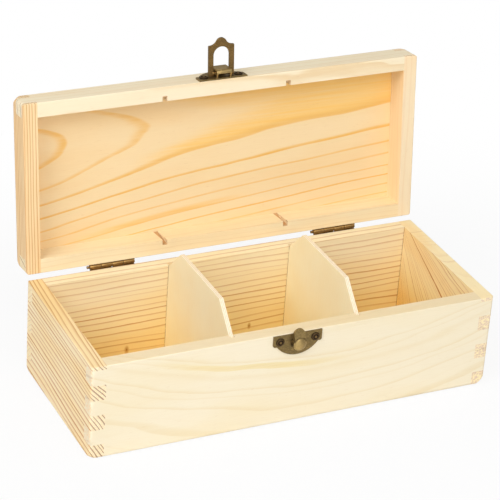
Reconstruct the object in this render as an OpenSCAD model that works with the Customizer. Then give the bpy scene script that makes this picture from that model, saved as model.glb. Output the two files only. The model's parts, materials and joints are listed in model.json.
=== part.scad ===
// Tea bag box: a finger-jointed pine carcass with three compartments, a framed
// lid on two stop hinges, and a hasp that closes over a nub on the front.
// +X runs along the front to the right, +Y to the back, +Z up.
// The origin is the centre of the underside. The box is drawn with its lid open.

/* [Box] */
// Length along the front
box_l = 290; // [240:1:340]
// Depth from front to back
box_d = 119; // [100:1:150]
// Height of the base
base_h = 68.5; // [55:0.5:85]
// Thickness of the boards and of the lid's rails
wall = 10; // [8:0.5:13]
// Radius of the rounded upright edges
edge_r = 2.25; // [0.5:0.25:3]
// Radius of the rounded edges round the underside and the lid's top
outer_edge_r = 2.5; // [0.5:0.25:3]
// Radius of the eased edges where base and lid meet
rim_edge_r = 0.6; // [0.2:0.1:1]
// Number of fingers up each corner of the base
finger_count = 6; // [4:2:8]
// Height of the strip of side board above the top front finger
base_strip = 2.7; // [1:0.1:4]

/* [Lid] */
// Height of the lid
lid_h = 20.5; // [20.5:0.5:32]
// How far the lid leans open from closed, in degrees
open_angle = 96.5; // [91:0.1:100]
// Gap between lid and base when closed
lid_gap = 0.4; // [0.3:0.05:1]
// Height of the strip of side rail below the lid's finger
lid_strip = 2.5; // [1:0.5:4]

/* [Panels] */
// Thickness of the bottom and lid panels
panel_t = 3; // [2.5:0.25:4]
// Width of the rebate that holds a panel
rebate_w = 5; // [3:0.5:6]
// Corner radius that the cutter leaves in a rebate
rebate_r = 6; // [3:0.5:9]
// Gap round a panel in its rebate
panel_clear = 0.1; // [0.05:0.05:0.2]

/* [Dividers] */
// Thickness of a divider
divider_t = 3; // [2.5:0.25:4]
// How far the dividers stand above the rim of the base
divider_rise = 17.5; // [10:0.5:17.5]
// Depth of the grooves that hold the dividers
groove_depth = 3; // [2:0.25:4]
// Gap between divider and groove on each face
groove_clear = 0.1; // [0.05:0.05:0.25]
// Gap between the slanted ends of the dividers and the lid's rails
slant_clear = 0.6; // [0.3:0.1:2]
// Radius of the cutter that leaves the grooves' run-out in the lid
cutter_r = 60; // [40:5:80]

/* [Hinges] */
// Distance of each hinge's middle from the end of the box
hinge_inset = 61; // [45:1:75]
// Length of a hinge
hinge_l = 32.5; // [28:0.5:45]
// Height of a hinge leaf on the wood
leaf_h = 14; // [11:0.5:16]
// Thickness of the hinge sheet
leaf_t = 0.7; // [0.5:0.1:0.8]
// Outer radius of a hinge knuckle
knuckle_r = 1.5; // [1.3:0.1:1.6]
// Radius of the hinge pin
hinge_pin_r = 0.7; // [0.5:0.1:0.8]
// Running clearance round the hinge pin
pin_clear = 0.05; // [0.02:0.01:0.1]
// Distance of the hinge axis behind the back face
axis_back = 1.8; // [1.8:0.1:2.2]
// Height of the hinge axis above the rim of the base
axis_up = 1.4; // [1.3:0.1:1.8]
// Gap left at the hinge's stop
stop_gap = 0.2; // [0.1:0.05:0.3]

/* [Hasp and catch] */
// Middle of the hasp along X
hasp_x = -2.5; // [-20:0.5:20]
// Width of the hasp and catch plates
plate_w = 35; // [30:1:40]
// Depth of the plates' round side
plate_deep = 15.6; // [13.6:0.2:16]
// Height of the plates' square ends
plate_end_h = 8; // [6:0.5:10]
// Thickness of the plates
plate_t = 1; // [0.8:0.1:1.2]
// Gap between each plate's straight edge and the rim
plate_rim_gap = 0.6; // [0.3:0.1:1.5]
// Distance of the hasp's axis from the lid's rim
loop_axis_up = 5.5; // [5.5:0.25:7]
// Distance of the hasp's axis in front of the lid's face
loop_axis_out = 3.2; // [3.2:0.1:3.8]
// Width of the loop
loop_w = 18.6; // [18:0.2:20]
// Width of the loop's window
window_w = 11.7; // [11.6:0.1:12.4]
// Distance from the hasp's axis to the top of the window
window_reach = 18.4; // [18:0.2:20]
// Distance from the hasp's axis to the loop's shoulders
shoulder_reach = 19.4; // [19:0.2:21]
// Distance from the hasp's axis to the loop's tip
tip_reach = 24.5; // [23.5:0.25:26]
// Thickness of the loop
loop_t = 1.6; // [1.2:0.1:1.8]
// Radius of the catch's nub
nub_r = 4.6; // [3.5:0.1:4.7]
// How far the nub stands out from the wood
nub_out = 6; // [5:0.25:7]
// Distance of the nub's middle below the rim
nub_down = 7; // [6:0.25:8]

/* [Hidden] */
$fn = 64;

slack = 1;                       // cutters reach this far past what they cut
x_right = box_l / 2;             // outer face of the right side
y_back = box_d / 2;              // outer face of the back
y_front = -y_back;               // outer face of the front
finger_top = base_h - base_strip; // where the fingers start
finger_h = ceil(10 * finger_top / finger_count) / 10;
lid_z = base_h + lid_gap;        // rim of the closed lid
lid_top = lid_z + lid_h;         // top of the closed lid
axis_y = y_back + axis_back;     // hinge axis
axis_z = base_h + axis_up;

// Ball that shapes the sanded corners, and how far in its middle lies
ball_r = 10.6;
ball_in = 8;

// Places of the two dividers: three equal compartments
compartment_w = (box_l - 2 * wall - 2 * divider_t) / 3;
divider_x = (compartment_w + divider_t) / 2;
groove_w = divider_t + 2 * groove_clear;
divider_top = base_h + divider_rise;

// Hinges
hinge_x = x_right - hinge_inset;
knuckle_count = 4;
knuckle_gap = 0.25;              // end gap between neighbouring knuckles
knuckle_pitch = hinge_l / knuckle_count;
swing_gap = 0.3;                 // gap between a knuckle and the other leaf
knuckle_bore_r = hinge_pin_r + pin_clear;
web_h = 2.8;                     // height of the web between knuckle and sheet
closing_gap = 0.35;              // gap between a web and the other half's wood
stop_reach = knuckle_r + 2;      // length of the stop lip from the axis
stop_t = 1;                      // thickness of the stop lip
lip_inset = 0.2;                 // the lip is this much shorter than its knuckle at each end
pin_head_h = 1;
pin_neck = 0.7;                  // how far the head stands off the knuckle
nail_hole_clear = 0.05;

// Hinge nails
hinge_nail_r = 0.6;
hinge_nail_l = 7;
hinge_nail_head_r = 1.5;
hinge_nail_head_h = 0.6;
hinge_nail_dx = hinge_l / 2 - 5; // from the hinge's middle
hinge_nail_up = leaf_h - 4.5;    // from the rim

// Hasp and catch nails
latch_nail_r = 0.7;
latch_nail_l = 8;
latch_nail_head_r = 3;
latch_nail_head_h = 1;
latch_nail_dx = plate_w / 2 - 4.8;
latch_nail_in = 4.6;             // from the plate's straight edge

hasp_z = lid_z + plate_rim_gap;  // straight edge of the closed hasp plate
catch_z = base_h - plate_rim_gap; // straight edge of the catch plate
loop_z = lid_z + loop_axis_up;   // hasp axis with the lid closed
loop_y = y_front - loop_axis_out;
ear_r = 1.4;                     // corners of the plates' ears
plate_arc_r = plate_deep + 2.6;  // their round side
bar_r = 1.3;                     // bar at the foot of the loop
loop_foot = 1.8;                 // how far the loop's legs pass the axis
foot_r = 0.2;
shoulder_r = 0.5;
tip_r = 3.8;                     // round tip of the ogee
sweep_r = 6;                     // hollow sweeps between tip and shoulders

// Strap of the hasp plate, folded over the bar
strap_w = window_w - 0.8;
strap_t = 1.1;
strap_bend_r = 2.2;
strap_bend_out = loop_axis_out + 1.6; // middle of the bends, from the wood
strap_low_z = 1.6;               // middle of the near bend, from the lid's rim
strap_high_z = loop_axis_up + 4.1; // middle of the far bend
slot_w = strap_w - 2;
slot_out = 4.4;                  // far side of the slot, from the wood

// Lean of the near wall, which runs from the plate's edge into the near bend
foot_out = strap_bend_out - plate_t;
foot_up = strap_low_z - plate_rim_gap;
strap_lean = asin(strap_bend_r / norm([foot_out, foot_up])) - atan2(foot_up, foot_out);

// Nub of the catch, heights from the rim
dome_r = 8;                      // dome on the boss
roof_w = 2 * nub_r - 1;
roof_out = nub_out - 1.2;        // where the roof starts on the boss
roof_z = -2.6;
tongue_tip = 3.4;
tongue_back = plate_t + 0.35;    // back of the tongue, off the closed lid's plate
tongue_face = tongue_back + 0.65; // face of the tongue at its tip

module wood(tone) {
    color(tone) children();
}

module bronze() {
    color([0.36, 0.26, 0.14]) children();
}

// ---------------------------------------------------------------- outlines

// Rectangle centred on X from y = 0, with low and high corner radii
module eased_rect(w, h, r_low, r_high) {
    difference() {
        translate([-w / 2, 0]) square([w, h]);
        for (s = [-1, 1]) {
            translate([s * w / 2, 0]) corner_waste(-s, 1, r_low);
            translate([s * w / 2, h]) corner_waste(-s, -1, r_high);
        }
    }
}

// What a rounded corner loses; the body lies towards (sx, sy)
module corner_waste(sx, sy, r) {
    mirror([sx < 0 ? 1 : 0, 0])
        mirror([0, sy < 0 ? 1 : 0])
            difference() {
                translate([-slack, -slack]) square(r + slack);
                translate([r, r]) circle(r);
            }
}

// Rectangle with four round corners, centred
module round_rect(w, h, r) {
    translate([0, -h / 2]) eased_rect(w, h, r, r);
}

// Outer form of the base or the lid: a block with every edge rounded, and with
// the corners away from the rim sanded rounder
module carcass_form(z, h, r_low, r_high) {
    translate([0, 0, z])
        difference() {
            intersection() {
                linear_extrude(h) round_rect(box_l, box_d, edge_r);
                translate([0, y_back, 0]) rotate([90, 0, 0])
                    linear_extrude(box_d) eased_rect(box_l, h, r_low, r_high);
                translate([-x_right, 0, 0]) rotate([90, 0, 90])
                    linear_extrude(box_l) eased_rect(box_d, h, r_low, r_high);
            }
            for (sx = [-1, 1], sy = [-1, 1])
                if (r_low > r_high) sanded_corner(sx, sy, -1, ball_in);
                else sanded_corner(sx, sy, 1, h - ball_in);
        }
}

// What a sanded corner loses: all of its octant that lies outside a ball
module sanded_corner(sx, sy, sz, z) {
    translate([sx * (x_right - ball_in), sy * (y_back - ball_in), z])
        mirror([sx < 0 ? 1 : 0, 0, 0]) mirror([0, sy < 0 ? 1 : 0, 0])
            mirror([0, 0, sz < 0 ? 1 : 0])
                difference() {
                    cube(ball_in + slack);
                    sphere(ball_r, $fn = 96);
                }
}

// -------------------------------------------------------------- the boards

// Finger i of the base, counted from the top; the lowest takes what is left
function finger_span(i) =
    [i == finger_count - 1 ? 0 : finger_top - (i + 1) * finger_h, finger_top - i * finger_h];

// The front and back boards have the top finger, the sides have the lowest and
// the strip at the rim
function base_fingers(front) =
    front ? [for (i = [0 : 2 : finger_count - 1]) finger_span(i)]
          : concat([[finger_top, base_h]], [for (i = [1 : 2 : finger_count - 1]) finger_span(i)]);

// The lid has one whole front finger, between two strips of the side rails
function lid_fingers(front) =
    front ? [[lid_z + lid_strip, lid_z + lid_strip + finger_h]]
          : [[lid_z, lid_z + lid_strip], [lid_z + lid_strip + finger_h, lid_top]];

// Blocks at the four corners over the given heights
module corner_blocks(spans) {
    for (sx = [-1, 1], sy = [-1, 1], span = spans)
        translate([sx * (x_right - wall / 2), sy * (y_back - wall / 2), span[0]])
            translate([-wall / 2, -wall / 2, 0])
                cube([wall, wall, span[1] - span[0]]);
}

// A board along the front (side = -1) or the back (side = 1), with its fingers
module long_board(side, z, h, fingers) {
    middle_y = side * (y_back - wall / 2);
    intersection() {
        union() {
            translate([-x_right + wall, middle_y - wall / 2, z])
                cube([box_l - 2 * wall, wall, h]);
            corner_blocks(fingers);
        }
        translate([-x_right, middle_y - wall / 2, z]) cube([box_l, wall, h]);
    }
}

// A board at the left (side = -1) or the right (side = 1), with its fingers
module short_board(side, z, h, fingers) {
    middle_x = side * (x_right - wall / 2);
    intersection() {
        union() {
            translate([middle_x - wall / 2, y_front + wall, z])
                cube([wall, box_d - 2 * wall, h]);
            corner_blocks(fingers);
        }
        translate([middle_x - wall / 2, y_front, z]) cube([wall, box_d, h]);
    }
}

// Rebate for a panel, from height z upwards
module rebate(z, h) {
    translate([0, 0, z]) linear_extrude(h)
        round_rect(box_l - 2 * (wall - rebate_w), box_d - 2 * (wall - rebate_w), rebate_r);
}

module panel(z) {
    inset = wall - rebate_w + panel_clear;
    translate([0, 0, z]) linear_extrude(panel_t)
        round_rect(box_l - 2 * inset, box_d - 2 * inset, rebate_r - panel_clear);
}

// Upright grooves for the dividers, in front and back board together
module divider_grooves() {
    for (sx = [-1, 1])
        translate([sx * divider_x - groove_w / 2, y_front + wall - groove_depth, panel_t])
            cube([groove_w, box_d - 2 * (wall - groove_depth), base_h]);
}

// The round cutter that made the grooves runs out in the lid's rails
module groove_run_out(side) {
    centre_y = side * (y_back - wall + groove_depth - cutter_r);
    for (sx = [-1, 1])
        translate([sx * divider_x - groove_w / 2, centre_y, lid_z])
            rotate([0, 90, 0]) cylinder(r = cutter_r, h = groove_w, $fn = 180);
}

module base_long_board(side) {
    difference() {
        intersection() {
            long_board(side, 0, base_h, base_fingers(true));
            carcass_form(0, base_h, outer_edge_r, rim_edge_r);
        }
        rebate(-slack, panel_t + slack);
        divider_grooves();
    }
}

module base_short_board(side) {
    difference() {
        intersection() {
            short_board(side, 0, base_h, base_fingers(false));
            carcass_form(0, base_h, outer_edge_r, rim_edge_r);
        }
        rebate(-slack, panel_t + slack);
    }
}

module lid_long_rail(side) {
    difference() {
        intersection() {
            long_board(side, lid_z, lid_h, lid_fingers(true));
            carcass_form(lid_z, lid_h, rim_edge_r, outer_edge_r);
        }
        rebate(lid_top - panel_t, panel_t + slack);
        groove_run_out(side);
    }
}

module lid_short_rail(side) {
    difference() {
        intersection() {
            short_board(side, lid_z, lid_h, lid_fingers(false));
            carcass_form(lid_z, lid_h, rim_edge_r, outer_edge_r);
        }
        rebate(lid_top - panel_t, panel_t + slack);
    }
}

// Turns what is drawn with the lid closed about the hinges to the open lid
module lid_open() {
    translate([0, axis_y, axis_z]) rotate([-open_angle, 0, 0])
        translate([0, -axis_y, -axis_z]) children();
}

// ------------------------------------------------------------ nodes: base

module front_board() {
    wood([0.95, 0.90, 0.80])
        difference() {
            base_long_board(-1);
            catch_nail_places() nail_hole(latch_nail_r, latch_nail_l);
        }
}

module back_board() {
    wood([0.90, 0.78, 0.58])
        difference() {
            base_long_board(1);
            hinge_nail_places(-1) nail_hole(hinge_nail_r, hinge_nail_l);
        }
}

module left_board() {
    wood([0.93, 0.80, 0.58]) base_short_board(-1);
}

module right_board() {
    wood([0.92, 0.80, 0.60]) base_short_board(1);
}

module bottom_panel() {
    wood([0.92, 0.82, 0.64]) panel(0);
}

// A divider stands in its grooves; its ends slant in above the rim, so that
// the lid's rails pass them
module divider(side) {
    end_y = y_back - wall + groove_depth - groove_clear;
    slant_y = y_back - wall - slant_clear - divider_rise;
    slant_foot = divider_top - (end_y - slant_y);
    translate([side * divider_x - divider_t / 2, 0, 0]) rotate([90, 0, 90])
        linear_extrude(divider_t)
            polygon([[-end_y, panel_t], [end_y, panel_t], [end_y, slant_foot],
                     [slant_y, divider_top], [-slant_y, divider_top],
                     [-end_y, slant_foot]]);
}

module divider_left() {
    wood([0.94, 0.85, 0.66]) divider(-1);
}

module divider_right() {
    wood([0.94, 0.85, 0.66]) divider(1);
}

// ------------------------------------------------------------- nodes: lid

module lid_front_rail() {
    wood([0.94, 0.87, 0.74])
        lid_open()
            difference() {
                lid_long_rail(-1);
                hasp_nail_places() nail_hole(latch_nail_r, latch_nail_l);
            }
}

module lid_back_rail() {
    wood([0.94, 0.87, 0.72])
        lid_open()
            difference() {
                lid_long_rail(1);
                hinge_nail_places(1) nail_hole(hinge_nail_r, hinge_nail_l);
            }
}

module lid_left_rail() {
    wood([0.93, 0.82, 0.62]) lid_open() lid_short_rail(-1);
}

module lid_right_rail() {
    wood([0.94, 0.86, 0.70]) lid_open() lid_short_rail(1);
}

module lid_panel() {
    wood([0.93, 0.80, 0.58]) lid_open() panel(lid_top - panel_t);
}

// -------------------------------------------------------------- the hinges

// Knuckles 0 and 2 belong to the base leaf, 1 and 3 to the lid leaf
function knuckle_start(i) = -hinge_l / 2 + i * knuckle_pitch + knuckle_gap / 2;

knuckle_w = knuckle_pitch - knuckle_gap;

// One leaf drawn round the origin as the axis; up = 1 for the lid's leaf. Its
// sheet lies on the wood, from the rim outwards.
module leaf(up, own) {
    other = 1 - own;
    rim_z = (up > 0 ? lid_z : base_h) - axis_z;
    difference() {
        union() {
            translate([-hinge_l / 2, -axis_back, up > 0 ? rim_z : rim_z - leaf_h])
                cube([hinge_l, leaf_t, leaf_h]);
            for (i = [own, own + 2]) {
                knuckle(i, up > 0 ? rim_z : rim_z - 1);
                if (up > 0) stop_lip(i);
            }
        }
        for (i = [other, other + 2]) knuckle_room(i);
        translate([-hinge_l, 0, 0]) rotate([0, 90, 0])
            cylinder(r = knuckle_bore_r, h = 2 * hinge_l);
    }
}

// A knuckle and the web that joins it to its sheet; the web starts at web_z and
// keeps closing_gap from the wood of the other half
module knuckle(i, web_z) {
    translate([knuckle_start(i), 0, 0]) {
        rotate([0, 90, 0]) cylinder(r = knuckle_r, h = knuckle_w);
        translate([0, -axis_back + closing_gap, web_z])
            cube([knuckle_w, axis_back - closing_gap - knuckle_bore_r, web_h]);
    }
}

// Room for the other leaf's knuckle
module knuckle_room(i) {
    room_w = knuckle_w + 2 * knuckle_gap;
    translate([knuckle_start(i) - knuckle_gap, -axis_back - slack, -knuckle_r - swing_gap])
        cube([room_w, axis_back + slack + knuckle_r, 2 * (knuckle_r + swing_gap)]);
}

// The lip that stops the open lid: with the lid open it hangs beside the base
// leaf, stop_gap away
module stop_lip(i) {
    rotate([open_angle, 0, 0])
        translate([knuckle_start(i) + lip_inset, -axis_back + leaf_t + stop_gap, -stop_reach])
            cube([knuckle_w - 2 * lip_inset, stop_t, stop_reach]);
}

module at_hinge(side) {
    translate([side * hinge_x, axis_y, axis_z]) children();
}

module base_leaf(side) {
    difference() {
        at_hinge(side) leaf(-1, 0);
        hinge_nail_places(-1) nail_hole(hinge_nail_r, leaf_t);
    }
}

module lid_leaf(side) {
    lid_open()
        difference() {
            at_hinge(side) leaf(1, 1);
            hinge_nail_places(1) nail_hole(hinge_nail_r, leaf_t);
        }
}

// The pin has a small head at its left end and ends flush at the right
module hinge_pin(side) {
    at_hinge(side)
        translate([-hinge_l / 2 - pin_neck, 0, 0]) rotate([0, 90, 0])
            union() {
                cylinder(r = hinge_pin_r, h = hinge_l + pin_neck);
                translate([0, 0, -pin_head_h]) cylinder(r = hinge_pin_r + 0.25, h = pin_head_h);
            }
}

module hinge_left_base_leaf() {
    bronze() base_leaf(-1);
}

module hinge_left_lid_leaf() {
    bronze() lid_leaf(-1);
}

module hinge_left_pin() {
    bronze() hinge_pin(-1);
}

module hinge_right_base_leaf() {
    bronze() base_leaf(1);
}

module hinge_right_lid_leaf() {
    bronze() lid_leaf(1);
}

module hinge_right_pin() {
    bronze() hinge_pin(1);
}

// --------------------------------------------------------------- the nails

// Places of the hinge nails, +Z out of the wood; up = 1 in the closed lid
module hinge_nail_places(up) {
    z = up > 0 ? lid_z + hinge_nail_up : base_h - hinge_nail_up;
    for (side = [-1, 1], s = [-1, 1])
        translate([side * hinge_x + s * hinge_nail_dx, y_back, z])
            rotate([-90, 0, 0]) children();
}

// Hole for a nail through a sheet that lies on the wood, and into the wood
module nail_hole(r, depth) {
    translate([0, 0, -depth - slack / 2])
        cylinder(r = r + nail_hole_clear, h = depth + slack / 2 + leaf_t + slack);
}

// A nail with a low domed head, its underside at the sheet's outer face
module flat_nail(sheet_t) {
    translate([0, 0, sheet_t])
        rotate_extrude()
            polygon([[0, -sheet_t - hinge_nail_l], [hinge_nail_r, -sheet_t - hinge_nail_l + 1],
                     [hinge_nail_r, 0], [hinge_nail_head_r, 0],
                     [hinge_nail_head_r, hinge_nail_head_h / 2],
                     [hinge_nail_head_r / 2, hinge_nail_head_h], [0, hinge_nail_head_h]]);
}

// A nail whose round head has a raised ring round a dished button
module ring_nail(sheet_t) {
    ring_r = latch_nail_head_r * 0.62;
    groove_r = latch_nail_head_r * 0.48;
    button_r = latch_nail_head_r * 0.3;
    translate([0, 0, sheet_t])
        rotate_extrude()
            polygon([[0, -sheet_t - latch_nail_l], [latch_nail_r, -sheet_t - latch_nail_l + 1.2],
                     [latch_nail_r, 0], [latch_nail_head_r, 0],
                     [latch_nail_head_r, latch_nail_head_h * 0.4],
                     [ring_r, latch_nail_head_h * 0.95],
                     [groove_r, latch_nail_head_h * 0.45],
                     [button_r, latch_nail_head_h],
                     [0, latch_nail_head_h]]);
}

module hinge_base_nails() {
    bronze() hinge_nail_places(-1) flat_nail(leaf_t);
}

module hinge_lid_nails() {
    bronze() lid_open() hinge_nail_places(1) flat_nail(leaf_t);
}

// Places of the nails on the front face, +Z out of the wood
module hasp_nail_places() {
    for (s = [-1, 1])
        translate([hasp_x + s * latch_nail_dx, y_front, hasp_z + latch_nail_in])
            rotate([90, 0, 0]) children();
}

module catch_nail_places() {
    for (s = [-1, 1])
        translate([hasp_x + s * latch_nail_dx, y_front, catch_z - latch_nail_in])
            rotate([90, 0, 0]) children();
}

module hasp_nails() {
    bronze() lid_open() hasp_nail_places() ring_nail(plate_t);
}

module catch_nails() {
    bronze() catch_nail_places() ring_nail(plate_t);
}

// ------------------------------------------------------- the hasp and catch

// Half disc with square ears; its straight edge lies on y = 0
module plate_outline() {
    intersection() {
        translate([0, plate_deep - plate_arc_r]) circle(plate_arc_r, $fn = 120);
        translate([-plate_w / 2, 0]) square([plate_w, plate_deep]);
    }
    eased_rect(plate_w, plate_end_h, foot_r, ear_r);
}

// Plate on the front face, growing up (1) or down (-1) from its straight edge
module front_plate(z, up) {
    translate([hasp_x, y_front, z]) mirror([0, 0, up < 0 ? 1 : 0])
        rotate([90, 0, 0]) linear_extrude(plate_t) plate_outline();
}

// Foot of the strap's near wall, on the outside (off = 0) or the inside
function strap_foot(off) = [plate_t, plate_rim_gap + off / cos(strap_lean)];

// Where that wall's side runs into the bend
function strap_touch(r) = [strap_bend_out - r * sin(strap_lean), strap_low_z - r * cos(strap_lean)];

// One outline of the strap: first value away from the wood, second from the
// lid's rim towards its top; off is the distance inside the outer outline
module strap_outline(off) {
    r = strap_bend_r - off;
    root = plate_t / 2 - off;
    polygon([[root, strap_foot(off)[1]], strap_foot(off), strap_touch(r),
             [strap_bend_out + r, strap_low_z], [strap_bend_out + r, strap_high_z],
             [strap_bend_out, strap_high_z + r], [root, strap_high_z + r]]);
    translate([strap_bend_out, strap_low_z]) circle(r);
    translate([strap_bend_out, strap_high_z]) circle(r);
}

module strap_section() {
    difference() {
        strap_outline(0);
        strap_outline(strap_t);
    }
}

// The strap arches over the bar; the catch's tongue enters the slot in its
// near wall
module strap() {
    translate([hasp_x, y_front, lid_z])
        difference() {
            translate([strap_w / 2, 0, 0]) rotate([90, 0, -90])
                linear_extrude(strap_w) strap_section();
            translate([-slot_w / 2, -slot_out, -strap_bend_r])
                cube([slot_w, slot_out - plate_t, strap_bend_r + 2 * strap_low_z]);
        }
}

module hasp_plate() {
    bronze()
        lid_open()
            difference() {
                union() {
                    front_plate(hasp_z, 1);
                    strap();
                }
                hasp_nail_places() nail_hole(latch_nail_r, plate_t);
            }
}

// Outline of the loop: legs, ogee shoulders and a round tip, with the arched
// window. The axis lies on y = 0.
module loop_outline() {
    tip_y = tip_reach - tip_r;
    sweep_y = shoulder_reach + sweep_r;
    sweep_x = sqrt(pow(sweep_r + tip_r, 2) - pow(sweep_y - tip_y, 2));
    touch = tip_r / (tip_r + sweep_r);
    touch_x = touch * sweep_x;
    touch_y = tip_y + touch * (sweep_y - tip_y);
    window_r = window_w / 2;
    difference() {
        union() {
            translate([0, -loop_foot])
                eased_rect(loop_w, shoulder_reach + loop_foot, foot_r, shoulder_r);
            difference() {
                polygon([[-sweep_x, shoulder_reach], [sweep_x, shoulder_reach],
                         [touch_x, touch_y], [-touch_x, touch_y]]);
                for (s = [-1, 1]) translate([s * sweep_x, sweep_y]) circle(sweep_r);
            }
            translate([0, tip_y]) circle(tip_r);
        }
        translate([0, window_reach - window_r]) circle(window_r);
        translate([-window_r, -loop_foot - slack])
            square([window_w, window_reach - window_r + loop_foot + slack]);
    }
}

// The loop stands straight out from the lid's face; its legs carry the bar
module hasp_loop() {
    bronze()
        lid_open()
            translate([hasp_x, loop_y, loop_z])
                union() {
                    translate([0, 0, -loop_t / 2]) mirror([0, 1, 0])
                        linear_extrude(loop_t) loop_outline();
                    translate([-window_w / 2 - slack, 0, 0]) rotate([0, 90, 0])
                        cylinder(r = bar_r, h = window_w + 2 * slack);
                }
}

// The nub: a domed boss, and above it a roof that slopes back to a rounded
// tongue. The closed hasp's window goes round it, and the tongue enters the
// slot of the strap, in front of the hasp plate.
module nub() {
    translate([hasp_x, y_front, base_h - nub_down])
        rotate([90, 0, 0])
            intersection() {
                cylinder(r = nub_r, h = nub_out);
                translate([0, 0, nub_out - dome_r]) sphere(dome_r, $fn = 96);
            }
    translate([hasp_x, y_front, base_h])
        intersection() {
            translate([-roof_w / 2, 0, 0]) rotate([90, 0, 90])
                linear_extrude(roof_w)
                    polygon([[0, -nub_down], [-roof_out, -nub_down], [-roof_out, roof_z],
                             [-tongue_face, tongue_tip], [-tongue_back, tongue_tip],
                             [-tongue_back, -plate_rim_gap], [0, -plate_rim_gap]]);
            rotate([90, 0, 0]) linear_extrude(nub_out) tongue_outline();
        }
}

// Front outline of the roof, with the round end of the tongue
module tongue_outline() {
    round_z = tongue_tip - roof_w / 2;
    translate([0, round_z]) circle(roof_w / 2);
    translate([-roof_w / 2, -nub_down]) square([roof_w, nub_down + round_z]);
}

module catch_plate() {
    bronze()
        difference() {
            union() {
                front_plate(catch_z, -1);
                nub();
            }
            catch_nail_places() nail_hole(latch_nail_r, plate_t);
        }
}

front_board();
back_board();
left_board();
right_board();
bottom_panel();
divider_left();
divider_right();
lid_front_rail();
lid_back_rail();
lid_left_rail();
lid_right_rail();
lid_panel();
hinge_left_base_leaf();
hinge_left_lid_leaf();
hinge_left_pin();
hinge_right_base_leaf();
hinge_right_lid_leaf();
hinge_right_pin();
hinge_base_nails();
hinge_lid_nails();
hasp_plate();
hasp_nails();
hasp_loop();
catch_plate();
catch_nails();
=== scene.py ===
import json
import math
import bpy
from mathutils import Matrix, Vector


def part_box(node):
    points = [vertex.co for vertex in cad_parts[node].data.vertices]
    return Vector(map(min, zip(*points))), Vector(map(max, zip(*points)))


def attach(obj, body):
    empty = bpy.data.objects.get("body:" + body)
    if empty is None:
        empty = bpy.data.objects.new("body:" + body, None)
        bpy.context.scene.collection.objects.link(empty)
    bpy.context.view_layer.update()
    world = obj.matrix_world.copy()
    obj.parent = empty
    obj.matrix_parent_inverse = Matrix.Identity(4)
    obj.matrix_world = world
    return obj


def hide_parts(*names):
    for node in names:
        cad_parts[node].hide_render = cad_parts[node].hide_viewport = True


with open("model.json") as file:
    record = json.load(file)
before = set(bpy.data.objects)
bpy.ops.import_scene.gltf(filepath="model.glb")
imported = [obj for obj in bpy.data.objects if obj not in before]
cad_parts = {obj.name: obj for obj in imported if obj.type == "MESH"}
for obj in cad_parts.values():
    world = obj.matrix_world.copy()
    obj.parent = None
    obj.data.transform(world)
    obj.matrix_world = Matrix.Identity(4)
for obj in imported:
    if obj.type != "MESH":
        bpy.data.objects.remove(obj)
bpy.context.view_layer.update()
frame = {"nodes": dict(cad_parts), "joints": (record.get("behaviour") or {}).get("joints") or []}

# ---------------------------------------------------------------- the studio
# White paper under soft light from all round. A broad lamp stands in front and
# above with a low one under it, a strong one at the front left, and weak ones
# at the right and behind. A long lens looks down from the front left.
CAMERA_TURNED = 26.7018        # degrees, from straight in front round to the left
CAMERA_RAISED = 27.8324        # degrees, above the level
CAMERA_ROLLED = 4.0831         # degrees, its left side down
CAMERA_AIM = Vector((-0.011354, 0, 0.099642))
CAMERA_REACH = 1.4623          # m, from the aim back to the lens
LENS, SENSOR = 159.462, 36     # mm
FAR_CLIP = 20                  # m

level = Matrix.Rotation(math.radians(-CAMERA_TURNED), 4, "Z")
lift = Matrix.Rotation(math.radians(90 - CAMERA_RAISED), 4, "X")
roll = Matrix.Rotation(math.radians(CAMERA_ROLLED), 4, "Z")
retreat = Matrix.Translation((0, 0, CAMERA_REACH))
camera = bpy.data.objects.new("studio_camera", bpy.data.cameras.new("studio_camera"))
camera.matrix_world = Matrix.Translation(CAMERA_AIM) @ level @ lift @ roll @ retreat
camera.data.sensor_width = SENSOR
camera.data.lens = LENS
camera.data.clip_end = FAR_CLIP
bpy.context.scene.collection.objects.link(camera)
bpy.context.scene.camera = camera
bpy.context.scene.view_settings.view_transform = "Standard"

MIX_FACTOR, MIX_A, MIX_B, MIX_OUT = 0, 6, 7, 2     # a Mix node's sockets for colours


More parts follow.
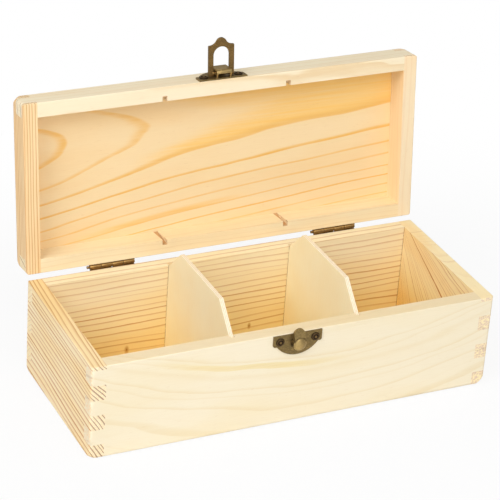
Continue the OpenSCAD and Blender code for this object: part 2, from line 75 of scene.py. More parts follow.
class Field:
    """A socket of a shader tree. Sums on it add Math nodes to the tree."""

    def __init__(self, tree, socket):
        self.tree, self.socket = tree, socket

    @staticmethod
    def node(tree, kind, settings, sockets, out=0):
        """Adds a node. sockets holds a value or a Field for each input that is set."""
        made = tree.nodes.new("ShaderNode" + kind)
        for name, value in settings.items():
            setattr(made, name, value)
        for name, value in sockets.items():
            if isinstance(value, Field):
                tree.links.new(value.socket, made.inputs[name])
            else:
                made.inputs[name].default_value = value
        return Field(tree, made.outputs[out])

    def feed(self, shader, name):
        """Links this to the input called name of a shader."""
        self.tree.links.new(self.socket, shader.inputs[name])

    def maths(self, operation, first, second=0.0):
        return Field.node(self.tree, "Math", {"operation": operation}, {0: first, 1: second})

    def __add__(self, other):
        return self.maths("ADD", self, other)

    def __radd__(self, other):
        return self.maths("ADD", other, self)

    def __sub__(self, other):
        return self.maths("SUBTRACT", self, other)

    def __rsub__(self, other):
        return self.maths("SUBTRACT", other, self)

    def __mul__(self, other):
        return self.maths("MULTIPLY", self, other)

    def __rmul__(self, other):
        return self.maths("MULTIPLY", other, self)

    def __truediv__(self, other):
        return self.maths("DIVIDE", self, other)

    def __rtruediv__(self, other):
        return self.maths("DIVIDE", other, self)

    def size(self):
        return self.maths("ABSOLUTE", self)

    def whole(self):
        return self.maths("FLOOR", self)

    def least(self, other):
        return self.maths("MINIMUM", self, other)

    def most(self, other):
        return self.maths("MAXIMUM", self, other)

    def vector(self, operation, other=(0, 0, 0), out=0):
        return Field.node(
            self.tree, "VectorMath", {"operation": operation}, {0: self, 1: other}, out)

    def length(self):
        return self.vector("LENGTH", out="Value")

    def times(self, factor):
        """A vector made factor times as long."""
        return Field.node(
            self.tree, "VectorMath", {"operation": "SCALE"}, {0: self, "Scale": factor})

    def part(self, index):
        """x, y or z of a vector."""
        return Field.node(self.tree, "SeparateXYZ", {}, {0: self}, index)

    def between(self, low, high):
        """0 below low, 1 above high, smooth in between."""
        return Field.node(
            self.tree, "MapRange", {"interpolation_type": "SMOOTHSTEP"},
            {"Value": self, "From Min": low, "From Max": high})

    def near(self, place, half, soft):
        """1 within half of place, 0 beyond half + soft."""
        return 1 - (self - place).size().between(half, half + soft)

    def tint(self, one, two):
        """The colour one where self is 0 and two where it is 1."""
        return Field.node(
            self.tree, "Mix", {"data_type": "RGBA"},
            {MIX_FACTOR: self, MIX_A: one, MIX_B: two}, MIX_OUT)

    def stain(self, tone, dye):
        """The colour tone, dyed with dye where self is 1."""
        return Field.node(
            self.tree, "Mix", {"data_type": "RGBA", "blend_type": "MULTIPLY"},
            {MIX_FACTOR: self, MIX_A: tone, MIX_B: dye}, MIX_OUT)

    def noise(self, size, seed, detail=2.0, rough=0.5, out=0):
        """Noise over a place in mm, its lumps size long in x, y and z."""
        where = self.vector("DIVIDE", size).vector("ADD", (seed, seed * 1.7, seed * 0.6))
        return Field.node(self.tree, "TexNoise", {}, {
            "Vector": where, "Scale": 1.0, "Detail": detail, "Roughness": rough}, out)


def srgb(r, g, b):
    """A colour written as 0 to 255 on the screen, as the shader wants it."""
    def linear(v):
        v /= 255
        return v / 12.92 if v <= 0.04045 else ((v + 0.055) / 1.055) ** 2.4
    return (linear(r), linear(g), linear(b), 1)


def new_material(name):
    made = bpy.data.materials.new(name)
    made.use_nodes = True
    return made, made.node_tree, made.node_tree.nodes["Principled BSDF"]


WHITE = (1, 1, 1, 1)
PAPER = (0.85, 0.85, 0.85, 1)
PAPER_SIZE = 9                 # m
PAPER_DROP = 0.0002            # m, how far the paper lies under the box
SHADOW_OVAL = (0.75, 1, 0)     # the shadow is longer along the box than across
SHADOW_NEAR, SHADOW_FAR = 0.16, 0.42     # m, it fades out between these
SHADOW_SHARE = 0.11            # how much of the real light shows near the box
SOFT_LIGHT = 0.30              # how strong the light from all round is

sweep_paper, tree, surface = new_material("sweep_paper")
surface.inputs["Base Color"].default_value = PAPER
surface.inputs["Roughness"].default_value = 0.9
surface.inputs["Specular IOR Level"].default_value = 0.1
glow = Field.node(tree, "Emission", {}, {"Color": WHITE, "Strength": 1.0})
seen = Field.node(tree, "LightPath", {}, {}, "Is Camera Ray")
spot = Field.node(tree, "TexCoord", {}, {}, "Object")
away = spot.vector("MULTIPLY", SHADOW_OVAL).length()
bare = seen * (1 - (1 - away.between(SHADOW_NEAR, SHADOW_FAR)) * SHADOW_SHARE)
lit = Field.node(tree, "MixShader", {}, {0: bare, 1: Field(tree, surface.outputs[0]), 2: glow})
lit.feed(tree.nodes["Material Output"], "Surface")
bpy.ops.mesh.primitive_plane_add(size=PAPER_SIZE, location=(0, 0, -PAPER_DROP))
sweep = bpy.context.object
sweep.name = "sweep"
sweep.data.materials.append(sweep_paper)

world = bpy.data.worlds.new("studio")
bpy.context.scene.world = world
world.use_nodes = True
tree = world.node_tree
tree.nodes.clear()
seen = Field.node(tree, "LightPath", {}, {}, "Is Camera Ray")
seen = seen.most(Field.node(tree, "LightPath", {}, {}, "Is Transmission Ray"))
soft = Field.node(tree, "Background", {}, {"Color": WHITE, "Strength": SOFT_LIGHT})
plain = Field.node(tree, "Background", {}, {"Color": WHITE, "Strength": 1.0})
both = Field.node(tree, "MixShader", {}, {0: seen, 1: soft, 2: plain})
both.feed(tree.nodes.new("ShaderNodeOutputWorld"), "Surface")

LAMP_AIM = Vector((0, 0, 0.08))
LAMP_REACH = 2.0               # m, from the aim to each lamp


def lamp(name, azimuth, height, size, power):
    """A square soft box, azimuth and height degrees round and up from the front."""
    light = bpy.data.lights.new(name, "AREA")
    light.shape = "SQUARE"
    light.size = size
    light.energy = power
    made = bpy.data.objects.new(name, light)
    turn, lift = math.radians(azimuth), math.radians(height)
    way = Vector((math.sin(turn) * math.cos(lift), -math.cos(turn) * math.cos(lift),
                  math.sin(lift)))
    made.location = LAMP_AIM + LAMP_REACH * way
    made.rotation_euler = (-way).to_track_quat("-Z", "Y").to_euler()
    bpy.context.scene.collection.objects.link(made)


lamp("key_lamp", azimuth=-8, height=40, size=1.3, power=13.6)
lamp("low_lamp", azimuth=-4, height=12, size=1.2, power=3.5)
lamp("left_lamp", azimuth=-66, height=42, size=1.2, power=21)
lamp("right_lamp", azimuth=60, height=40, size=1.2, power=3.5)
lamp("back_lamp", azimuth=172, height=50, size=1.2, power=4)

# ------------------------------------------------------------ the front board
# Flat-sawn pine, planed, sanded and left bare: pale cream with broad, faint
# arcs. Its square fingers are glued between those of the side boards, so that
# its end grain shows on the sides of the box.
MM = 1000                      # mm in a metre; wood and metal are drawn in mm
FACES_UP = (0.5, 0.9)          # the z of a rim's direction: from side to rim
SUMMER_ENDS = (0.93, 0.94)     # where a year's dark wood is full, and starts to stop
# the lumps of each kind of mark: mm across the grain, and mm along it
SWAY, WAVE = (26, 150), (8, 45)
STREAK, FIBRE, PATCH, FLECK = (1.6, 70), (0.35, 14), (22, 90), (0.45, 5)
SWAY_DEPTH, WAVE_DEPTH = 9, 2.4          # mm, how far they push the years
MOTTLE = (1.1, 1.1, 1.1)
FIBRE_DYE, FLECK_DYE = (0.93, 0.89, 0.82, 1), (0.72, 0.52, 0.34, 1)
END_LINE = srgb(150, 112, 86)
STREAK_FADE = 30               # mm, each way from where a broad streak begins or ends
WOOD_ROUGH, WOOD_SHINE = 0.60, 0.32
WOOD_RELIEF = 0.00012          # m, the height of the raised grain


def object_space(tree, lid):
    """Place (mm) and direction of a point of the piece, the lid's as if it is closed."""
    spot = Field.node(tree, "TexCoord", {}, {}, "Object")
    facing = Field.node(tree, "TexCoord", {}, {}, "Normal")
    if lid:
        spot, facing = closed(spot), closed(facing, False)
    return spot.times(MM), facing


def lifted(log, rise):
    """The log's space with its heart raised by rise (mm)."""
    return log.vector("SUBTRACT", Field.node(log.tree, "CombineXYZ", {}, {2: rise}))


def pine(name, seed, heart, along, ring, early, late, warm, line=0.6, thin=0.4, warp=1.0,
         lid=False, bend=None, narrow=None, uneven=1.5, chance=0.7, phase=0.0, quiet=0.0,
         streaks=(), marks=(), end_dye=(0.95, 0.88, 0.82, 1), end_line=0.8):
    """Bare pine, its grain worked out through the whole thickness of a board.

    The years are distances from the heart of a log, which runs through the point
    heart (mm) in the direction along, and a year is ring wide.
    early, late, warm   spring wood, summer wood, and spring wood in its warm patches
    line, thin          how strongly the summer wood shows, and its share of a year
    warp                how much the log strays from straight
    bend                a function of the log's space and the place that bends the log
    narrow              the reach (mm) at which the years are a third as wide
    uneven, chance      how much the years differ in width, and in strength
    phase               years added, to set where the first line falls
    quiet               how much weaker the lines are on faces that look up
    streaks             (first year, last year, begin, end, colour) of broad streaks
    marks               functions that each lay something over the colour
    end_dye, end_line   the dye of the end grain, and how strong its lines are"""
    made, tree, surface = new_material(name)
    spot, facing = object_space(tree, lid)
    axis = Vector(along).normalized()
    lengthwise = 0 if abs(axis.x) > abs(axis.y) else 1

    def lumps(size, step, detail=2.0, rough=0.5, out=0):
        """Noise drawn out along the grain; step keeps each kind of mark apart."""
        across, length = size
        drawn = [length if i == lengthwise else across for i in range(3)]
        return spot.noise(drawn, seed + step, detail, rough, out)

    # the years, counted outwards from the heart of a log that is never straight
    half = (0.5, 0.5, 0.5)
    sway = lumps(SWAY, 0, 1.5, out="Color").vector("SUBTRACT", half)
    wave = lumps(WAVE, 7, out="Color").vector("SUBTRACT", half)
    log = spot.vector("ADD", sway.times(SWAY_DEPTH * warp))
    log = log.vector("ADD", wave.times(WAVE_DEPTH * warp))
    if bend:
        log = bend(log, spot)
    reach = log.vector("SUBTRACT", heart).vector("CROSS_PRODUCT", axis).length()
    years = reach * (reach / narrow + 1) / ring if narrow else reach / ring
    years = years + Field.node(tree, "TexNoise", {"noise_dimensions": "1D"}, {
        "W": years * 0.45 + seed, "Scale": 1.0, "Detail": 1.0}) * uneven + phase
    year = years.whole()
    luck = Field.node(tree, "TexWhiteNoise", {"noise_dimensions": "1D"}, {"W": year + seed})
    streak = lumps(STREAK, 11)
    full, stops = SUMMER_ENDS
    part = years - year
    summer = part.between(1 - thin, full) * (1 - part.between(stops, 1.0))
    summer = summer * (luck * chance + (1 - chance)) * (streak * 0.9 + 0.55)
    if quiet:
        summer = summer * (1 - facing.part(2).between(*FACES_UP) * quiet)

    # colour: patches, broad streaks, years, fibres, small dark flecks
    fibre = lumps(FIBRE, 3, 3, 0.6)
    fleck = lumps(FLECK, 29, 1).between(0.70, 0.78)
    tone = lumps(PATCH, 19).between(0.35, 0.68).tint(early, warm)
    for first, last, begin, end, hue in streaks:
        run = spot.part(lengthwise)
        band = years.between(first, first + 0.35) * (1 - years.between(last - 0.15, last))
        band = band * run.between(begin - STREAK_FADE, begin + STREAK_FADE)
        band = band * (1 - run.between(end - STREAK_FADE, end + STREAK_FADE))
        tone = (band * (0.35 + 0.9 * streak)).least(1.0).tint(tone, hue)
    tone = (summer * line).least(1.0).tint(tone, late)
    tone = (fibre.between(0.30, 0.75) * 0.30).stain(tone, FIBRE_DYE)
    tone = (fleck * 0.22).stain(tone, FLECK_DYE)
    for mark in marks:
        tone = mark(tone, spot, facing, seed)

    # end grain: pale, its years short dark lines
    end = facing.vector("DOT_PRODUCT", tuple(axis), out="Value").size().between(0.45, 0.85)
    mottle = spot.noise(MOTTLE, seed + 53).between(0.40, 0.62)
    paler = tuple(0.97 * v + 0.03 for v in early)
    ends = mottle.stain(mottle.tint(paler, early), end_dye)
    ends = (summer.between(0.12, 0.55) * end_line).tint(ends, END_LINE)
    tone = (end * 0.92).tint(tone, ends)

    tone.feed(surface, "Base Color")
    rough = WOOD_ROUGH - summer * 0.12 + fibre * 0.10 + end * 0.12
    rough.feed(surface, "Roughness")
    relief = Field.node(tree, "Bump", {}, {
        "Strength": 0.30, "Distance": WOOD_RELIEF,
        "Height": fibre * 0.55 + summer * 0.5 - fleck * 0.4})
    relief.feed(surface, "Normal")
    surface.inputs["Specular IOR Level"].default_value = WOOD_SHINE
    return made


def bowed(middle, curve):
    """The log sags away from x = middle."""
    def bend(log, spot):
        run = spot.part(0) - middle
        return lifted(log, run * run * curve)
    return bend


def rim(dye):
    """Paints shade onto the faces that look up, leaving them a little darker and yellower."""
    def mark(tone, spot, facing, seed):
        return facing.part(2).between(*FACES_UP).stain(tone, dye)
    return mark


WELD_GAP = 0.000002            # m, doubled points of a CAD mesh lie closer than this
SOFT_ANGLE = math.radians(40)  # edges sharper than this are rounded


def dress(node, material, ease=0.00018):
    """Gives a CAD piece its material, and rounds its edges by ease (m)."""
    piece = frame["nodes"][node]
    piece.data.materials.clear()
    piece.data.materials.append(material)
    weld = piece.modifiers.new("close the mesh", "WELD")
    weld.merge_threshold = WELD_GAP
    soften = piece.modifiers.new("sanded edges", "BEVEL")
    soften.width = ease
    soften.segments = 2
    soften.limit_method = "ANGLE"
    soften.angle_limit = SOFT_ANGLE
    soften.harden_normals = False


dress("front_board", pine(
    "pine_front", seed=3.0, heart=(10, -18, 118), along=(1, 0, -0.02), ring=8.5,
    early=srgb(247, 235, 208), late=srgb(232, 207, 150), warm=srgb(246, 232, 200),
    line=0.36, warp=1.3, bend=bowed(10, 0.0013), uneven=3, chance=0.9,
    streaks=[(11.2, 12.3, -85, 20, srgb(242, 222, 166))],
    # painted shade: faces that look up are a little darker and yellower
    marks=[rim((0.97, 0.91, 0.80, 1))], end_dye=(1.0, 0.83, 0.66, 1), end_line=0.25))

# ------------------------------------------------------------- the back board
# Quarter-sawn pine: straight, close lines along the board, with two pin knots
# low down inside. Glue has left a dark line where each divider's groove and the
# right board meet it.
BACK_INSIDE = 49.5             # mm, the y of its inner face
RIGHT_INSIDE = 135             # mm, the x of the right board's inner face
KNOT_SHAPE = (1.5, 1, 0.75)    # a knot is taller than it is wide


def middle_x(node):
    """The x (mm) of a piece's middle."""
    low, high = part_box(node)
    return (low[0] + high[0]) / 2 * MM


def painted_low_shade(low, high, dye):
    """Paints warm shade onto the wood towards the floor of the box, from z = high down to low."""
    def mark(tone, spot, facing, seed):
        return (1 - spot.part(2).between(low, high)).stain(tone, dye)
    return mark


def pin_knot(where, size):
    """A small dark heart with a halo."""
    def mark(tone, spot, facing, seed):
        gap = spot.vector("SUBTRACT", where).vector("MULTIPLY", KNOT_SHAPE).length()
        halo = 1 - gap.between(size * 0.5, size * 2.2)
        heart = 1 - gap.between(size * 0.15, size * 0.7)
        tone = (halo * 0.75).tint(tone, srgb(196, 140, 52))
        return (heart * 0.7).tint(tone, srgb(132, 94, 34))
    return mark


def seam(x, thick):
    """The dark line of an upright joint, broken where the glue came up."""
    def mark(tone, spot, facing, seed):
        broken = spot.noise((3, 3, 3), seed + 41, 1).between(0.36, 0.50)
        inside = 1 - spot.part(1).between(BACK_INSIDE + 0.1, BACK_INSIDE + 0.5)
        dark = spot.part(0).near(x, thick, 0.25) * (0.35 + 0.65 * broken) * inside
        return (dark * 0.85).tint(tone, srgb(128, 84, 40))
    return mark


DIVIDERS = (middle_x("divider_left"), middle_x("divider_right"))
DIVIDER_HALF = 1.5             # mm, half its thickness

dress("back_board", pine(
    "pine_back", seed=11.0, heart=(0, -200, -200), along=(1, 0, 0.006), ring=3.2,
    early=srgb(253, 238, 201), late=srgb(204, 146, 78), warm=srgb(252, 232, 188),
    line=0.9, thin=0.32, warp=0.6, uneven=0.8, chance=0.65,
    # painted shade: darker and warmer towards the floor of the box
    marks=[painted_low_shade(2, 62, (1.0, 0.91, 0.60, 1)),
           pin_knot((-75.5, BACK_INSIDE, 7.5), 1.5), pin_knot((17, BACK_INSIDE, 9.5), 1.2),
           seam(DIVIDERS[0] - DIVIDER_HALF, 0.2), seam(DIVIDERS[1] - DIVIDER_HALF, 0.2),
           seam(RIGHT_INSIDE - 0.1, 0.1)],
    end_dye=(1.0, 0.87, 0.74, 1), end_line=0.25))


# ------------------------------------------------------------ the side boards
# Pine, glued between the front and the back finger by finger. The left board is
# rift-sawn, with close orange lines that fall a little towards the front. On
# the right board they fan out from the top of the back corner.
FAN_LENGTH = 100               # mm from where a fan's lines meet to where it is at scale


def fanned(far, high):
    """The lines draw together towards the line y = far, z = high."""
    def bend(log, spot):
        rise = spot.part(2) - high
        return lifted(log, rise - rise * FAN_LENGTH / (far - spot.part(1)))
    return bend


dress("left_board", pine(
    "pine_left", seed=23.0, heart=(-305, 0, -86), along=(0, 1, 0.05), ring=2.3,
    early=srgb(255, 237, 200), late=srgb(202, 140, 74), warm=srgb(254, 228, 178),
    line=1.1, thin=0.55, warp=0.4, uneven=0.8, chance=0.45, phase=0.4,
    # painted shade: faces that look up are a little darker and yellower
    marks=[rim((0.98, 0.93, 0.80, 1))]))
dress("right_board", pine(
    "pine_right", seed=31.0, heart=(150, 0, -70), along=(0, 1, 0), ring=68,
    early=srgb(254, 236, 190), late=srgb(196, 134, 70), warm=srgb(253, 226, 172),
    line=1.0, thin=0.34, warp=1.5, bend=fanned(68, 82), narrow=15, chance=0.85, quiet=0.75,
    # painted shade: darker and warmer towards the floor of the box
    marks=[painted_low_shade(2, 60, (0.99, 0.87, 0.52, 1))],
    end_dye=(0.80, 0.72, 0.90, 1), end_line=0.2))

# ----------------------------------------------------------- the bottom panel
# A thin pine board, glued into a rebate that is routed round the underside of
# the four boards.
dress("bottom_panel", pine(
    "pine_bottom", seed=41.0, heart=(0, 10, 60), along=(1, 0, 0.02), ring=5.0,
    early=srgb(248, 218, 160), late=srgb(222, 166, 92), warm=srgb(246, 208, 142)))


# --------------------------------------------------------------- the dividers
# Thin three-ply, smooth and even in colour, slid into grooves in the front and
# the back board. The cut edges show two fine glue lines.
GLUE_OFF = 0.55                # mm, from the sheet's middle to each glue line
PLY_EASE = 0.00025             # m, how round its edges are
PLY_RELIEF = 0.00008           # m


def plywood(name, middle, seed):
    """Three-ply whose middle lies at x = middle (mm)."""
    made, tree, surface = new_material(name)
    spot, facing = object_space(tree, False)
    side = facing.part(0).size().between(0.4, 0.8)
    fibre = spot.noise((1, 0.5, 16), seed, 3)
    cloud = spot.noise((34, 34, 34), seed + 5)
    face = cloud.between(0.3, 0.7).tint(srgb(254, 246, 214), srgb(253, 241, 204))
    # painted shade: the faces grow darker and warmer towards the floor of the box
    face = (1 - spot.part(2).between(2, 66)).stain(face, (0.985, 0.925, 0.73, 1))
    face = (fibre.between(0.35, 0.7) * 0.30).stain(face, (0.95, 0.90, 0.80, 1))
    edge = fibre.between(0.35, 0.75).tint(srgb(254, 243, 218), srgb(250, 231, 196))
    glue = (spot.part(0) - middle).size().near(GLUE_OFF, 0.05, 0.14)
    edge = (glue * 0.6).tint(edge, srgb(214, 170, 112))
    side.tint(edge, face).feed(surface, "Base Color")
    (0.6 + fibre * 0.1).feed(surface, "Roughness")
    relief = Field.node(tree, "Bump", {}, {
        "Strength": 0.15, "Distance": PLY_RELIEF, "Height": fibre})
    relief.feed(surface, "Normal")
    surface.inputs["Specular IOR Level"].default_value = 0.3
    return made


dress("divider_left", plywood("ply_left", DIVIDERS[0], 5.0), PLY_EASE)
dress("divider_right", plywood("ply_right", DIVIDERS[1], 47.0), PLY_EASE)

# ------------------------------------------------------------ the lid's frame
# Four pine rails, finger-jointed like the base. The left one is rift-sawn like
# the left board; the others are pale and quiet. The dividers' grooves run out
# in the two long rails, and their cuts are browned with painted shade.
lid_hinge = next(joint for joint in frame["joints"] if joint["name"] == "lid_hinge")
HINGE_Y, HINGE_Z = [v * MM for v in lid_hinge["pos_m"][1:]]     # the line it turns about
OPEN_DEGREES = lid_hinge["range_deg"][1]     # the lid stands open as far as it goes
OPEN = math.radians(OPEN_DEGREES)
GROOVE_HALF = 1.7              # mm, half the width of the cut


def closed(place, shift=True):
    """A place (m) or a direction on the open lid, as it is with the lid closed."""
    y, z = HINGE_Y / MM, HINGE_Z / MM
    back = (0, y - y * math.cos(OPEN) + z * math.sin(OPEN),
            z - y * math.sin(OPEN) - z * math.cos(OPEN))
    return Field.node(place.tree, "Mapping", {}, {
        "Vector": place, "Location": back if shift else (0, 0, 0), "Rotation": (OPEN, 0, 0)})


def painted_groove_shade(low, high):
    """Paints shade into the cuts for the dividers, from y = low to high."""
    def mark(tone, spot, facing, seed):
        # painted shade: the cuts are browned where their walls would shade them
        cut = spot.part(0).size().near(DIVIDERS[1], GROOVE_HALF, 0.1)
        cut = cut * spot.part(1).near((low + high) / 2, (high - low) / 2, 0.1)
        return (cut * 0.7).tint(tone, srgb(188, 128, 64))
    return mark


dress("lid_front_rail", pine(
    "pine_lid_front", seed=53.0, lid=True, heart=(0, -30, 190), along=(1, 0, 0.012), ring=4.0,
    early=srgb(251, 237, 206), late=srgb(232, 196, 138), warm=srgb(250, 231, 196),
    line=0.55, thin=0.35, warp=0.8, marks=[painted_groove_shade(-53, -49.7)]))
dress("lid_back_rail", pine(
    "pine_lid_back", seed=61.0, lid=True, heart=(0, 160, 120), along=(1, 0, 0.01), ring=4.2,
    early=srgb(250, 232, 193), late=srgb(236, 202, 148), warm=srgb(250, 226, 182),
    line=0.5, thin=0.35, marks=[painted_groove_shade(49.7, 53)]))
dress("lid_left_rail", pine(
    "pine_lid_left", seed=71.0, lid=True, heart=(-300, 0, -40), along=(0, 1, 0), ring=1.7,
    early=srgb(250, 221, 173), late=srgb(200, 134, 70), warm=srgb(248, 211, 157),
    line=1.0, thin=0.45, warp=0.2, uneven=0.5, chance=0.4))
dress("lid_right_rail", pine(
    "pine_lid_right", seed=83.0, lid=True, heart=(230, 0, 160), along=(0, 1, 0), ring=3.2,
    early=srgb(251, 229, 192), late=srgb(238, 198, 144), warm=srgb(250, 221, 178),
    line=0.5, thin=0.35, warp=0.7))


# ------------------------------------------------------------ the lid's panel
# One flat-sawn pine board, glued into a rebate round the top of the rails. The
# heart of its log draws away from the board towards the right, so the years
# make tall arches that point that way.
def climbing(start, rise, over):
    """The heart climbs by rise beyond x = start, quickly at first: most of it is
    done over the length over."""
    def bend(log, spot):
        left = spot.maths("EXPONENT", (spot.part(0) - start) / -over)
        return lifted(log, (1 - left) * rise)
    return bend


dress("lid_panel", pine(
    "pine_lid_panel", seed=55.0, lid=True, heart=(-135, -20, 90.4), along=(1, -0.06, 0), ring=28,
    early=srgb(249, 223, 177), late=srgb(243, 190, 98), warm=srgb(248, 217, 166),
    line=1.0, thin=0.24, warp=0.5, bend=climbing(-135, 33.5, 57), narrow=46, uneven=0.4,
    chance=0.45, phase=0.06,
    streaks=[(2.35, 2.97, -40, 190, srgb(253, 207, 120)),
             (6.3, 6.95, -90, 10, srgb(248, 204, 130))]))

# ----------------------------------------- the catch, the hasp and the hinges
# Stamped and folded sheet steel with an antique finish: dark olive bronze,
# rubbed to dull gold on its edges and wherever it has been touched. The plates
# and the leaves are nailed on; the loop and the hinges turn on bars and pins.
BRONZE, BRONZE_DARK = srgb(132, 112, 72), (0.62, 0.58, 0.52, 1)
# the third colour is painted shade round the foot of the catch's button
GOLD, GRIME, BOSS_FOOT_SHADE = srgb(200, 170, 110), srgb(66, 48, 28), srgb(52, 38, 22)
METAL_EASE, LOOP_EASE = 0.0002, 0.0003     # m, how round the edges are
METAL_RELIEF = 0.00008         # m
METAL_SHARE = 0.85             # the finish is partly lacquer
NUB = (-2.5, 61.5, 4.6)        # mm, the x, the z and the radius of the catch's nub
STRAP_FACE = -61.6             # mm, the y beyond which the hasp's strap stands out


def antique(name, seed, lid=False, gold=0.55, dye=(1, 1, 1), boss=None, worn=None):
    """Antique bronze. gold is how far the finish is rubbed through, and dye is
    laid over it. boss is the x, the z and the radius of a raised button, rubbed
    to gold with a painted highlight on its left half and painted shade round its
    foot; what stands out beyond y = worn is bright too."""
    made, tree, surface = new_material(name)
    spot, facing = object_space(tree, lid)
    blotch = spot.noise((3.4, 3.4, 3.4), seed, 3, 0.6)
    grit = spot.noise((0.4, 0.4, 0.4), seed + 5, 3)
    brush = spot.noise((1.8, 0.25, 0.25), seed + 9)
    flat = facing.part(0).size().most(facing.part(1).size()).most(facing.part(2).size())
    edge = (1 - flat).between(0.03, 0.22)
    # rubbed wear, and on the catch's button also a painted highlight
    wear_and_highlight = (blotch * 0.6 + brush * 0.5).between(0.44, 0.72) * gold + edge * 0.75
    wear_and_highlight = wear_and_highlight.least(1.0)
    tone = blotch.between(0.3, 0.7).stain(BRONZE, BRONZE_DARK)
    if boss:
        x, z, radius = boss
        gap = spot.vector("SUBTRACT", (x, 0, z)).vector("MULTIPLY", (1, 0, 1)).length()
        # painted shade: a dark ring round the foot of the button
        tone = (gap.near(radius, 0.35, 0.5) * 0.85).tint(tone, BOSS_FOOT_SHADE)
        # painted highlight: the button is brighter on its left half
        painted_left_highlight = 1 - (spot.part(0) - x).between(-1, 3) * 0.6
        button = 1 - gap.between(radius - 1.0, radius - 0.4)
        wear_and_highlight = wear_and_highlight.most(button * (0.5 + blotch * 0.8) * painted_left_highlight).least(1.0)
    if worn:
        proud = 1 - spot.part(1).between(worn - 0.8, worn)
        wear_and_highlight = wear_and_highlight.most(proud * (0.3 + blotch * 0.8)).least(1.0)
    tone = wear_and_highlight.tint(tone, GOLD).vector("MULTIPLY", dye)
    tone = (grit.between(0.52, 0.75) * 0.45).tint(tone, GRIME)
    tone.feed(surface, "Base Color")
    (0.38 + grit * 0.18 - wear_and_highlight * 0.10).feed(surface, "Roughness")
    relief = Field.node(tree, "Bump", {}, {
        "Strength": 0.2, "Distance": METAL_RELIEF, "Height": grit * 0.6 + brush * 0.4})
    relief.feed(surface, "Normal")
    surface.inputs["Metallic"].default_value = METAL_SHARE
    return made


RUSSET = (1.0, 0.84, 0.72)
base_bronze = antique("bronze_on_base", 0.0, gold=0.45, boss=NUB)
lid_bronze = antique("bronze_on_lid", 13.0, lid=True, worn=STRAP_FACE)
loop_bronze = antique("bronze_loop", 29.0, lid=True, gold=0.35, dye=(0.98, 0.86, 0.74))
hinge_base_bronze = antique("bronze_hinge_base", 37.0, gold=0.4, dye=RUSSET)
hinge_lid_bronze = antique("bronze_hinge_lid", 43.0, lid=True, gold=0.4, dye=RUSSET)
dress("catch_plate", base_bronze, METAL_EASE)
dress("hasp_plate", lid_bronze, METAL_EASE)
for node in ("hinge_left_base_leaf", "hinge_left_pin", "hinge_right_base_leaf",
             "hinge_right_pin"):
    dress(node, hinge_base_bronze, METAL_EASE)
for node in ("hinge_left_lid_leaf", "hinge_right_lid_leaf"):
    dress(node, hinge_lid_bronze, METAL_EASE)
dress("hasp_loop", loop_bronze, LOOP_EASE)

# ---------------------------------------------------------------- the nails
# Short steel nails, bronzed like the sheets that they hold to the wood. The
# latch's have a wide head with a raised ring round a rubbed button. One tree of
# nodes turns a nail's outline round its axis and sets it at every place.
HEAD_AROUND, HEAD_ALONG, SHANK_AROUND = 33, 21, 16     # points of the mesh
NAIL_TIP = 0.0001              # m, the radius at the point
HEAD_WELD = 0.00001            # m
FALL = [(0, 0), (0.15, 0), (1, 1)]
DOMED = [(0, 0), (0.15, 0.35), (0.40, 0.75), (0.65, 0.95), (1, 1)]
RINGED = [(0, 0), (0.15, 0.40), (0.38, 0.95), (0.45, 0.95), (0.56, 0.45), (0.64, 0.45),
          (0.74, 0.95), (0.90, 0.85), (1, 0.8)]


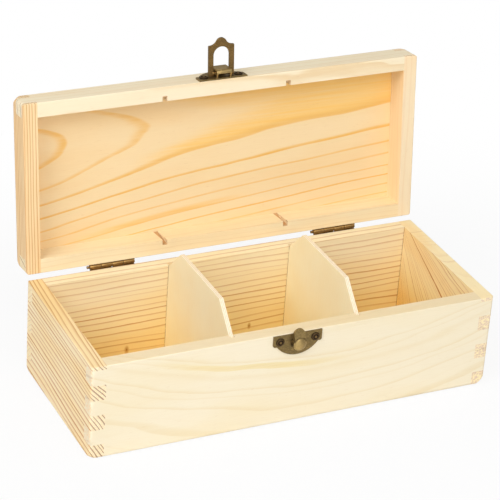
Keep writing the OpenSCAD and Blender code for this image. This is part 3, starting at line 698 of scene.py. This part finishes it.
def nail_tree(metal):
    """The nodes that make the nails. FALL says how far in from the edge each step
    along a head's outline is; DOMED and RINGED say how high, as a share of it."""
    tree = bpy.data.node_groups.new("nails", "GeometryNodeTree")
    face = tree.interface
    face.new_socket("Places", in_out="INPUT", socket_type="NodeSocketGeometry")
    for name in ("Head Radius", "Head Height", "Shank Radius", "Shank Length", "Ring", "Lean"):
        face.new_socket(name, in_out="INPUT", socket_type="NodeSocketFloat")
    face.new_socket("Nails", in_out="OUTPUT", socket_type="NodeSocketGeometry")

    def add(kind, sockets=(), **settings):
        made = tree.nodes.new(kind)
        for name, value in settings.items():
            setattr(made, name, value)
        for name, value in dict(sockets).items():
            if isinstance(value, bpy.types.NodeSocket):
                tree.links.new(value, made.inputs[name])
            else:
                made.inputs[name].default_value = value
        return made

    def maths(operation, one, two=0.0):
        return add("ShaderNodeMath", {0: one, 1: two}, operation=operation).outputs[0]

    def curve(value, points):
        made = add("ShaderNodeFloatCurve", {"Value": value})
        line = made.mapping.curves[0]
        while len(line.points) < len(points):
            line.points.new(0.5, 0.5)
        for point, (x, y) in zip(line.points, points):
            point.location = (x, y)
            point.handle_type = "VECTOR"
        made.mapping.update()
        return made.outputs[0]

    # the head: a grid, one way round the nail and the other along its outline
    given = add("NodeGroupInput").outputs
    grid = add("GeometryNodeMeshGrid", {
        "Size X": 1.0, "Size Y": 1.0, "Vertices X": HEAD_AROUND, "Vertices Y": HEAD_ALONG})
    where = add("ShaderNodeSeparateXYZ", {0: add("GeometryNodeInputPosition").outputs[0]}).outputs
    angle = maths("MULTIPLY", maths("ADD", where[0], 0.5), 2 * math.pi)
    way = maths("ADD", where[1], 0.5)
    reach = maths("SUBTRACT", 1.0, curve(way, FALL))
    height = add("ShaderNodeMix", {
        0: given["Ring"], 2: curve(way, DOMED), 3: curve(way, RINGED)}, data_type="FLOAT")
    across = maths("MULTIPLY", reach, given["Head Radius"])
    turned = add("ShaderNodeCombineXYZ", {
        0: maths("MULTIPLY", across, maths("COSINE", angle)),
        1: maths("MULTIPLY", across, maths("SINE", angle)),
        2: maths("MULTIPLY", height.outputs[0], given["Head Height"])}).outputs[0]
    head = add("GeometryNodeStoreNamedAttribute", {
        "Geometry": grid.outputs["Mesh"], "Name": "reach", "Value": reach},
        data_type="FLOAT", domain="POINT")
    head = add("GeometryNodeSetPosition", {"Geometry": head.outputs[0], "Position": turned})
    head = add("GeometryNodeMergeByDistance", {
        "Geometry": head.outputs[0], "Distance": HEAD_WELD})

    # the shank: a long cone that hangs under the head
    shank = add("GeometryNodeMeshCone", {
        "Vertices": SHANK_AROUND, "Radius Top": given["Shank Radius"],
        "Radius Bottom": NAIL_TIP, "Depth": given["Shank Length"]})
    sunk = add("ShaderNodeCombineXYZ", {2: maths("MULTIPLY", given["Shank Length"], -1.0)})
    shank = add("GeometryNodeTransform", {
        "Geometry": shank.outputs["Mesh"], "Translation": sunk.outputs[0]})
    nail = add("GeometryNodeJoinGeometry")
    tree.links.new(shank.outputs[0], nail.inputs[0])
    tree.links.new(head.outputs[0], nail.inputs[0])
    smooth = add("GeometryNodeSetShadeSmooth", {"Geometry": nail.outputs[0]})

    # one nail at each place, leaning about x
    lean = add("ShaderNodeCombineXYZ", {0: given["Lean"]}).outputs[0]
    points = add("GeometryNodeMeshToPoints", {"Mesh": given["Places"]})
    placed = add("GeometryNodeInstanceOnPoints", {
        "Points": points.outputs[0], "Instance": smooth.outputs[0], "Rotation": lean})
    whole = add("GeometryNodeRealizeInstances", {"Geometry": placed.outputs[0]})
    coated = add("GeometryNodeSetMaterial", {"Geometry": whole.outputs[0], "Material": metal})
    add("NodeGroupOutput", {0: coated.outputs[0]})
    return tree


def nail_metal():
    """Dark bronze with a rubbed button; reach is 0 in a head's middle, 1 at its edge."""
    made, tree, surface = new_material("bronze_nail")
    spot = Field.node(tree, "TexCoord", {}, {}, "Object").times(MM)
    reach = Field.node(tree, "Attribute", {"attribute_name": "reach"}, {}, "Fac")
    grit = spot.noise((0.4, 0.4, 0.4), 3.0, 3)
    tone = grit.between(0.3, 0.7).tint(srgb(70, 52, 32), srgb(104, 82, 50))
    tone = reach.near(0.47, 0.08, 0.06).tint(tone, srgb(24, 16, 10))
    tone = (reach.between(0.86, 0.97) * 0.8).tint(tone, srgb(30, 21, 13))
    tone = ((1 - reach.between(0.14, 0.30)) * 0.8).tint(tone, srgb(150, 120, 74))
    tone.feed(surface, "Base Color")
    (0.36 + grit * 0.2).feed(surface, "Roughness")
    surface.inputs["Metallic"].default_value = METAL_SHARE
    return made


nail_nodes = nail_tree(nail_metal())


def nails(name, node, body, places, lean, head, height, shank, length, ring):
    """Nails at places (mm, under the head), leaning lean degrees about x."""
    mesh = bpy.data.meshes.new(name)
    mesh.from_pydata([[v / MM for v in place] for place in places], [], [])
    made = bpy.data.objects.new(name, mesh)
    bpy.context.scene.collection.objects.link(made)
    driven = made.modifiers.new("nails", "NODES")
    driven.node_group = nail_nodes
    values = {"Head Radius": head, "Head Height": height, "Shank Radius": shank,
              "Shank Length": length, "Ring": ring, "Lean": math.radians(lean)}
    for item in nail_nodes.interface.items_tree:
        if item.name in values:
            driven[item.identifier] = float(values[item.name])
    bpy.context.view_layer.update()
    whole = made.evaluated_get(bpy.context.evaluated_depsgraph_get())
    baked = bpy.data.meshes.new_from_object(whole)
    made.modifiers.remove(driven)
    made.data = baked
    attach(made, body)
    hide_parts(node)


def opened(x, y, z):
    """Where a place on the closed lid (mm) is with the lid open."""
    y, z = y - HINGE_Y, z - HINGE_Z
    return (x, HINGE_Y + y * math.cos(OPEN) + z * math.sin(OPEN),
            HINGE_Z - y * math.sin(OPEN) + z * math.cos(OPEN))


# mm: where the nails are, on the outer faces of the plates and of the leaves
LATCH_MIDDLE, LATCH_NAIL_OFF = -2.5, 12.7
HINGE_MIDDLE, HINGE_NAIL_OFF = 84, 11.25
PLATE_FACE, LEAF_FACE = -60.5, 60.2
CATCH_NAIL_Z, HASP_NAIL_Z = 63.3, 74.1
BASE_NAIL_Z, LID_NAIL_Z = 59.0, 78.4
FORWARD, BACKWARD = 90, -90    # degrees, the lean that turns a head to the front or the back
latch_x = [LATCH_MIDDLE + side * LATCH_NAIL_OFF for side in (-1, 1)]
hinge_x = [hinge * HINGE_MIDDLE + side * HINGE_NAIL_OFF for hinge in (-1, 1) for side in (-1, 1)]
# the two sizes of nail, in metres
small = {"head": 0.0015, "height": 0.0006, "shank": 0.0006, "length": 0.007, "ring": 0}
wide = {"head": 0.003, "height": 0.001, "shank": 0.0007, "length": 0.008, "ring": 1}

nails("catch_ring_nails", "catch_nails", "base",
      [(x, PLATE_FACE, CATCH_NAIL_Z) for x in latch_x], FORWARD, **wide)
nails("hasp_ring_nails", "hasp_nails", "lid",
      [opened(x, PLATE_FACE, HASP_NAIL_Z) for x in latch_x], FORWARD - OPEN_DEGREES, **wide)
nails("hinge_base_small_nails", "hinge_base_nails", "base",
      [(x, LEAF_FACE, BASE_NAIL_Z) for x in hinge_x], BACKWARD, **small)
nails("hinge_lid_small_nails", "hinge_lid_nails", "lid",
      [opened(x, LEAF_FACE, LID_NAIL_Z) for x in hinge_x], BACKWARD - OPEN_DEGREES, **small)
